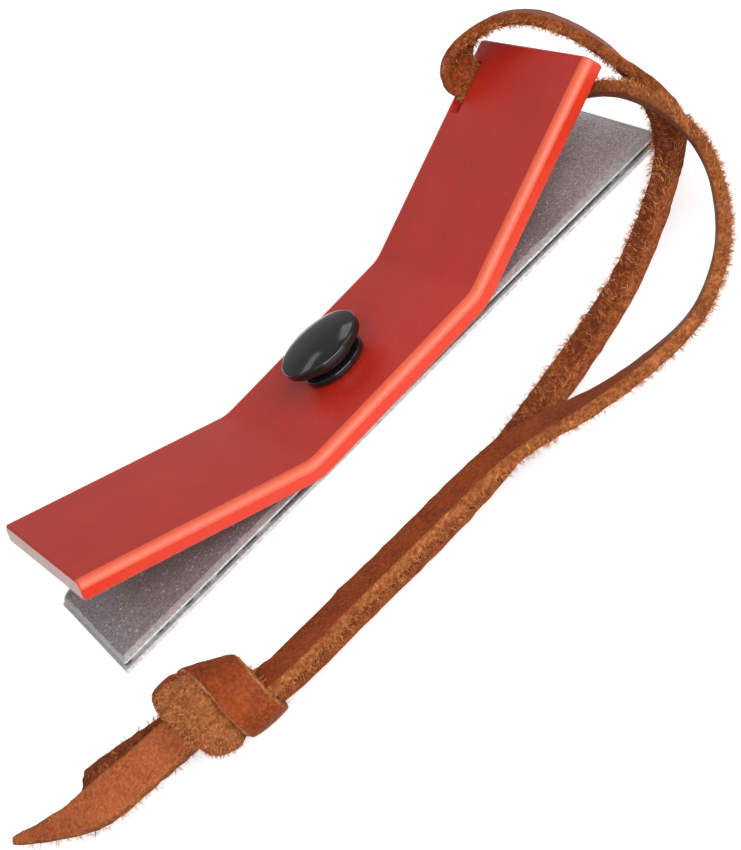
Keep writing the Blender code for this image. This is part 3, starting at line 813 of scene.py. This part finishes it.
def lace_frames(points, across, widths):
    """Stations along a lace: place, direction ahead, direction across, outward grain face, width."""
    samples = [(i, k / LACE_STEPS) for i in range(len(points) - 1) for k in range(LACE_STEPS)]
    samples.append((len(points) - 2, 1.0))
    path = [smooth(points, i, s) for i, s in samples]
    frames = []
    for k, (i, s) in enumerate(samples):
        ahead = (path[min(k + 1, len(path) - 1)] - path[max(k - 1, 0)]).normalized()
        side = smooth(across, i, s)
        side = (side - ahead * side.dot(ahead)).normalized()
        frames.append((path[k], ahead, side, ahead.cross(side), smooth(widths, i, s) * LACE_WIDTH))
    return frames


def loop_frames():
    """Stations of the two strands of the loop, which meet in the middle of the slot."""
    passage = slot_passage()
    route = [(MIDDLE + Vector(p) * MM, Vector(w)) for p, w in [FRONT_INSIDE, *LOOP_TO_SLOT]]
    middle = (len(route) + len(passage) // 2) * LACE_STEPS
    route += passage
    route += [(MIDDLE + Vector(p) * MM, Vector(w)) for p, w in [*SLOT_TO_KNOT, REAR_INSIDE]]
    frames = lace_frames([p for p, w in route], [w for p, w in route], [1.0] * len(route))
    return frames[:middle + 1], frames[middle:]


def tail_frames(tail):
    points = [MIDDLE + Vector(p) * MM for p, w, s in tail]
    return lace_frames(points, [Vector(w) for p, w, s in tail], [s for p, w, s in tail])


def lace_section(width, arch):
    """Points (across, up, slot) round the lace: grain face, cut edge, flesh face, cut edge."""
    half, deep = width / 2, LACE_THICKNESS / 2
    grain = min(GRAIN_ROUND, half * MOST_ROUND)
    flesh = min(FLESH_ROUND, half * MOST_ROUND)
    quarter, count, steps = math.pi / 2, LACE_STEPS_ACROSS, LACE_CORNER_STEPS
    left_grain = arc((-half + grain, deep - grain), grain, quarter, 2 * quarter, steps)[1:]
    left_flesh = arc((-half + flesh, -deep + flesh), flesh, 2 * quarter, 3 * quarter, steps)
    right_flesh = arc((half - flesh, -deep + flesh), flesh, -quarter, 0, steps)[1:]
    right_grain = arc((half - grain, deep - grain), grain, 0, quarter, steps)[:-1]
    points = [((half - grain) * (1 - 2 * k / count), deep, GRAIN) for k in range(count + 1)]
    points += [(u, w, EDGE) for u, w in [*left_grain, (-half, 0.0), *left_flesh]]
    points += [((half - flesh) * (2 * k / count - 1), -deep, FLESH) for k in range(1, count + 1)]
    points += [(u, w, EDGE) for u, w in [*right_flesh, (half, 0.0), *right_grain]]
    return [(u, w - arch * (u / half) ** 2, slot) for u, w, slot in points]


def lace_mesh(shape, frames, arch=0.0, flip=1):
    """Sweeps the lace's section along its stations, roughened. Flip -1 turns the flesh side out."""
    rings = []
    for point, ahead, side, face, width in frames:
        section = lace_section(width, arch)
        ring = []
        for u, w, slot in section:
            lift = face * (w * flip)
            spot = point + side * u + lift
            lump = noise.noise(spot * COARSE_LUMPS) + 0.6 * noise.noise(spot * FINE_LUMPS)
            out = (side * u + lift * 2).normalized()
            ring.append(spot + out * lump * ROUGHNESS[slot])
        rings.append(ring)
    slots = [slot for u, w, slot in section]
    tube(shape, rings, slots[1:] + slots[:1])


def any_way(draw):
    return Vector((draw.uniform(-1, 1), draw.uniform(-1, 1), draw.uniform(-1, 1)))


def fibre(shape, root, out, draw, reach=1.0):
    """One tapering fibre with a bend in it, left out where it would go into the floor."""
    length = draw.uniform(*FIBRE_LENGTH) * reach
    thick = draw.uniform(*FIBRE_THICKNESS)
    curl = any_way(draw) * FIBRE_CURL
    middle = root + out * length * 0.55
    tip = middle + (out + curl).normalized() * length * 0.5
    if min(middle.z, tip.z) < FLOOR_GAP:
        return
    side = out.orthogonal().normalized()
    other = out.cross(side)
    turns = [2 * math.pi * k / FIBRE_SIDES for k in range(FIBRE_SIDES)]
    ring = [side * math.cos(a) * thick + other * math.sin(a) * thick for a in turns]
    low = [shape.verts.new(root + r) for r in ring]
    mid = [shape.verts.new(middle + r * 0.75) for r in ring]
    end = shape.verts.new(tip)
    corners = [low[::-1]]
    for i in range(FIBRE_SIDES):
        j = (i + 1) % FIBRE_SIDES
        corners += [(low[i], low[j], mid[j], mid[i]), (mid[i], mid[j], end)]
    tone = draw.randrange(len(FIBRE_TONES))
    for face in corners:
        shape.faces.new(face).material_index = tone


def fibres(shape, frames, draw, per_mm, edge_share, flip=1):
    """Tufts of short loose fibres standing from the cut edges and the flesh side."""
    deep = LACE_THICKNESS / 2
    for near, far in zip(frames, frames[1:]):
        point, ahead, side, face, width = near
        up = face * flip
        expected = per_mm * (far[0] - point).length / MM
        count = int(expected) + (draw.random() < expected % 1)
        for _ in range(count):
            spot = point.lerp(far[0], draw.random())
            if draw.random() < edge_share:
                outward = side * draw.choice((-1, 1))
                root = spot + outward * (width / 2 - FIBRE_SINK) - up * draw.uniform(-0.2, 1.0) * deep
                out = outward - up * draw.uniform(0.0, 0.9)
            else:
                root = spot + side * draw.uniform(-0.95, 0.95) * width / 2 - up * (deep - FIBRE_SINK)
                out = -up + side * draw.uniform(-0.7, 0.7)
            out = (out + ahead * draw.uniform(-0.9, 0.9)).normalized()
            for _ in range(draw.choice(TUFT_COUNTS)):
                stray = any_way(draw)
                fibre(shape, root + stray * TUFT_SPREAD, (out + stray * TUFT_SPLAY).normalized(), draw)


def knot_place(along, down, out):
    return MIDDLE + KNOT_CENTRE + (KNOT_AXIS * along + KNOT_DOWN * down + KNOT_OUT * out) * MM


def band_frames():
    """Stations of the turn of lace that closes the knot, its grain side out."""
    across = [KNOT_AXIS * w[0] + KNOT_DOWN * w[1] + KNOT_OUT * w[2] for p, w in KNOT_BAND]
    return lace_frames([knot_place(*p) for p, w in KNOT_BAND], across, [BAND_WIDTH] * len(KNOT_BAND))


def knot_surface(way):
    """Place on the folded lace inside the band, out in the given direction of the knot."""
    fit = sum(abs(c) ** CORE_POWER for c in way) ** (-1 / CORE_POWER)
    hump = CORE_HUMP * math.exp(-(way - CORE_HUMP_WAY).length_squared / CORE_HUMP_SPREAD)
    swell = hump + 0.30 * noise.noise(way * 2.6) + 0.10 * noise.noise(way * 7.0)
    reach = CORE_TO_STRANDS if way.x > 0 else CORE_TO_TAILS
    along = way.x * (reach * fit + swell)
    taper = 1 - CORE_TAPER * max(along, 0)
    down = way.y * (CORE_DOWN * fit + swell) * taper
    out = way.z * (CORE_OUT * fit + swell) * taper
    spot = knot_place(along - CORE_SHIFT_TO_TAILS, down - CORE_SHIFT_UP, out)
    spot.z = max(spot.z, CORE_FLOOR_GAP * MM)
    return spot


def knot_core(shape):
    """The folded lace inside the band: flesh side to the front, grain round the back and below."""
    made = bmesh.ops.create_icosphere(shape, subdivisions=CORE_SUBDIVISIONS, radius=1)
    for face in shape.faces:
        way = face.calc_center_median().normalized()
        over = way.y < -0.2 and way.z < 0.45 + 0.25 * way.x
        under = way.y > 0.25 and way.x < -0.62
        behind = way.z < -0.1
        face.material_index = GRAIN if over or under or behind else FLESH
    for vert in made["verts"]:
        vert.co = knot_surface(vert.co.normalized())


def knot_fuzz(shape, draw, count):
    """Fibres on the flesh side shown at the knot's front."""
    for _ in range(count):
        way = Vector((draw.uniform(-1, 0.35), draw.uniform(-0.8, 1), draw.uniform(0.15, 1))).normalized()
        root = knot_surface(way)
        out = (root - MIDDLE - KNOT_CENTRE).normalized()
        fibre(shape, root, (out + any_way(draw)).normalized(), draw, KNOT_FIBRE_REACH)


def knot_piece(band, finishes):
    shape = bmesh.new()
    knot_core(shape)
    lace_mesh(shape, band, BAND_ARCH)
    bmesh.ops.recalc_face_normals(shape, faces=shape.faces)
    return settle(make_object("lace_knot", shape, finishes, LACE_SHARP), "holder", "leather", "lanyard_knot")


def lace_piece(name, frames, finishes, node, flip=1):
    shape = bmesh.new()
    lace_mesh(shape, frames, flip=flip)
    bmesh.ops.recalc_face_normals(shape, faces=shape.faces)
    return settle(make_object(name, shape, finishes, LACE_SHARP), "holder", "leather", node)


def fuzz_piece(name, parts, finishes, seed, knot_count=0):
    """Loose fibres on stretches of lace, each with its tufts per millimetre, share on the edges and flip."""
    draw = random.Random(seed)
    shape = bmesh.new()
    for frames, per_mm, edge_share, flip in parts:
        fibres(shape, frames, draw, per_mm, edge_share, flip)
    knot_fuzz(shape, draw, knot_count)
    return settle(make_object(name, shape, finishes, FIBRE_SHARP), "holder", "leather")


def lanyard():
    """The lace: its knot and tails, and the two strands of its loop, each with its loose fibres."""
    grain = leather_grain("leather_grain", GRAIN_DARK, GRAIN_DARK_WORN)
    sheen_painted_grain = leather_grain("leather_grain_pale_painted_sheen", GRAIN_PALE_PAINTED_SHEEN, GRAIN_PALE_PAINTED_SHEEN_WORN)
    edge = leather_flesh("leather_edge", CUT_EDGE)
    dark_edge = leather_flesh("leather_edge_dark", CUT_EDGE_DARK)
    pale_edge = leather_flesh("leather_edge_pale", CUT_EDGE_PALE)
    flesh = leather_flesh("leather_flesh", FLESH_DARK)
    pale_flesh = leather_flesh("leather_flesh_pale", FLESH_PALE)
    hair = [leather_fibre(name, colour) for name, colour in FIBRE_TONES]
    front, rear = loop_frames()
    long_tail = tail_frames([LONG_INSIDE, *LONG_TAIL])
    short_tail = tail_frames([SHORT_INSIDE, *SHORT_TAIL])
    band = band_frames()

    knot = knot_piece(band, [grain, pale_edge, pale_flesh])
    # The tails take the paler grain, a painted sheen.
    finishes = [sheen_painted_grain, edge, flesh]
    tails = [
        lace_piece("lace_tail_long", long_tail, finishes, "lanyard_tail_long"),
        lace_piece("lace_tail_short", short_tail, finishes, "lanyard_tail_short", flip=-1),
    ]
    fuzzy = [(band, 3.0, 1.0, 1), (long_tail, 5.0, 0.9, 1), (short_tail, 9.0, 0.6, -1)]
    knot_fibres = fuzz_piece("knot_fibres", fuzzy, hair, KNOT_SEED, KNOT_FIBRES)
    strands = (
        ("lace_front", front, front[-1][0], edge, FRONT_SEED, [knot, *tails, knot_fibres]),
        ("lace_rear", rear, rear[0][0], dark_edge, REAR_SEED, []),
    )
    for name, strand, mouth, rim, seed, end_pieces in strands:
        piece = lace_piece(name, strand, [grain, rim, flesh], "lanyard_loop")
        fuzz = fuzz_piece(name + "_fibres", [(strand, 26.0, 0.5, 1)], hair, seed)


# Studio: each lamp's name, place, aim, size and power, in metres and watts
LAMPS = (
    ("overhead_left", (-0.27, -0.20, 0.56), (0, -0.02, 0), (0.34, 0.20), 0.45),
    ("overhead_right", (0.27, -0.20, 0.56), (0, -0.02, 0), (0.34, 0.20), 0.45),
    ("front_wall", (-0.04, -0.84, 0.44), (0, 0, 0.01), (1.1, 0.40), 10.3),
    ("right_fill", (0.62, -0.36, 0.42), (0.03, -0.02, 0), (0.40, 0.40), 1.1),
    ("knob_glint_left", (-0.07, 0.40, 0.46), PIVOT, (0.24, 0.07), 0.075),
    ("knob_glint_right", (0.25, 0.42, 0.46), PIVOT, (0.08, 0.20), 0.07),
)
WORLD_LIGHT = 0.16
WORLD_IN_GLOSS = 0.34
FLOOR_REACH = 4.0
FLOOR_DROP = 0.02 * MM
FLOOR_GLOW = 0.62


def camera():
    ahead = Vector((math.sin(VIEW_HEADING) * math.cos(VIEW_DROP),
                    math.cos(VIEW_HEADING) * math.cos(VIEW_DROP), -math.sin(VIEW_DROP)))
    level = Vector((math.cos(VIEW_HEADING), -math.sin(VIEW_HEADING), 0))
    above = level.cross(ahead)
    right = level * math.cos(VIEW_ROLL) + above * math.sin(VIEW_ROLL)
    up = right.cross(ahead)
    made = bpy.data.objects.new("camera", bpy.data.cameras.new("camera"))
    made.data.sensor_width = SENSOR_MM
    made.data.lens = FOCAL_PIXELS * SENSOR_MM / IMAGE_HEIGHT
    made.data.clip_start = CLIP_START
    turn = Matrix((right, up, -ahead)).transposed()
    made.matrix_world = Matrix.Translation(MIDDLE + CAMERA_PLACE) @ turn.to_4x4()
    bpy.context.collection.objects.link(made)
    bpy.context.scene.camera = made


def area_light(name, spot, aim, size, power):
    lamp = bpy.data.lights.new(name, "AREA")
    lamp.shape = "RECTANGLE"
    lamp.size, lamp.size_y = size
    lamp.energy = power
    made = bpy.data.objects.new(name, lamp)
    made.location = spot
    made.rotation_euler = (Vector(aim) - Vector(spot)).to_track_quat("-Z", "Y").to_euler()
    made.visible_camera = False
    bpy.context.collection.objects.link(made)


def pale_world():
    """White to the camera, dimmer in gloss and glass, and dimmest as light."""
    world = bpy.data.worlds.new("studio")
    bpy.context.scene.world = world
    world.use_nodes = True
    tree = world.node_tree
    rays = add(tree, "ShaderNodeLightPath").outputs
    glossy = math_node(tree, "MAXIMUM", rays["Is Glossy Ray"], rays["Is Transmission Ray"])
    dim = ramp(tree, glossy, WORLD_LIGHT, WORLD_IN_GLOSS)
    strength = ramp(tree, rays["Is Camera Ray"], dim, 1.0)
    set_inputs(tree, tree.nodes["Background"], {"Color": WHITE, "Strength": strength})


def pale_floor():
    """A pale floor that glows for the camera and in gloss and glass, and still takes the shadow."""
    made, tree, shader = new_material("pale_floor")
    rays = add(tree, "ShaderNodeLightPath").outputs
    seen = math_node(tree, "MAXIMUM", rays["Is Camera Ray"], rays["Is Glossy Ray"])
    seen = math_node(tree, "MAXIMUM", seen, rays["Is Transmission Ray"])
    set_inputs(tree, shader, {
        "Base Color": FLOOR_GREY,
        "Roughness": 0.9,
        "Specular IOR Level": 0.0,
        "Emission Color": WHITE,
        "Emission Strength": ramp(tree, seen, 0.0, FLOOR_GLOW),
    })
    shape = bmesh.new()
    bmesh.ops.create_grid(shape, x_segments=1, y_segments=1, size=FLOOR_REACH)
    floor = make_object("floor", shape, [made])
    floor.location.z = -FLOOR_DROP


def studio():
    for lamp in LAMPS:
        area_light(*lamp)
    pale_world()
    pale_floor()
    bpy.context.scene.view_settings.view_transform = "Standard"


def dress_nodes(grit):
    """Finishes for the pieces whose own shape is right."""
    finishes = {
        "lower_abrasive_plate": grit,
        "clamp_screw": metal("screw_steel", STEEL, 0.32),
        "knob_insert": metal("insert_brass", BRASS, 0.30),
        "file_core": file_core(),
    }
    for name, finish in finishes.items():
        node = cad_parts[name]
        node.data.materials.clear()
        node.data.materials.append(finish)


def main():
    camera()
    lanyard()
    grit = abrasive_plate()
    black = black_plastic()
    settle(holder_strip(), "holder", "red_plastic", "holder_strip")
    settle(upper_plate(grit), "file", "abrasive_plate", "upper_abrasive_plate")
    settle(knob_head(black), "knob", "black_plastic", "knob")
    settle(washer(black), "holder", "black_plastic", "pressure_washer")
    dress_nodes(grit)
    studio()


main()
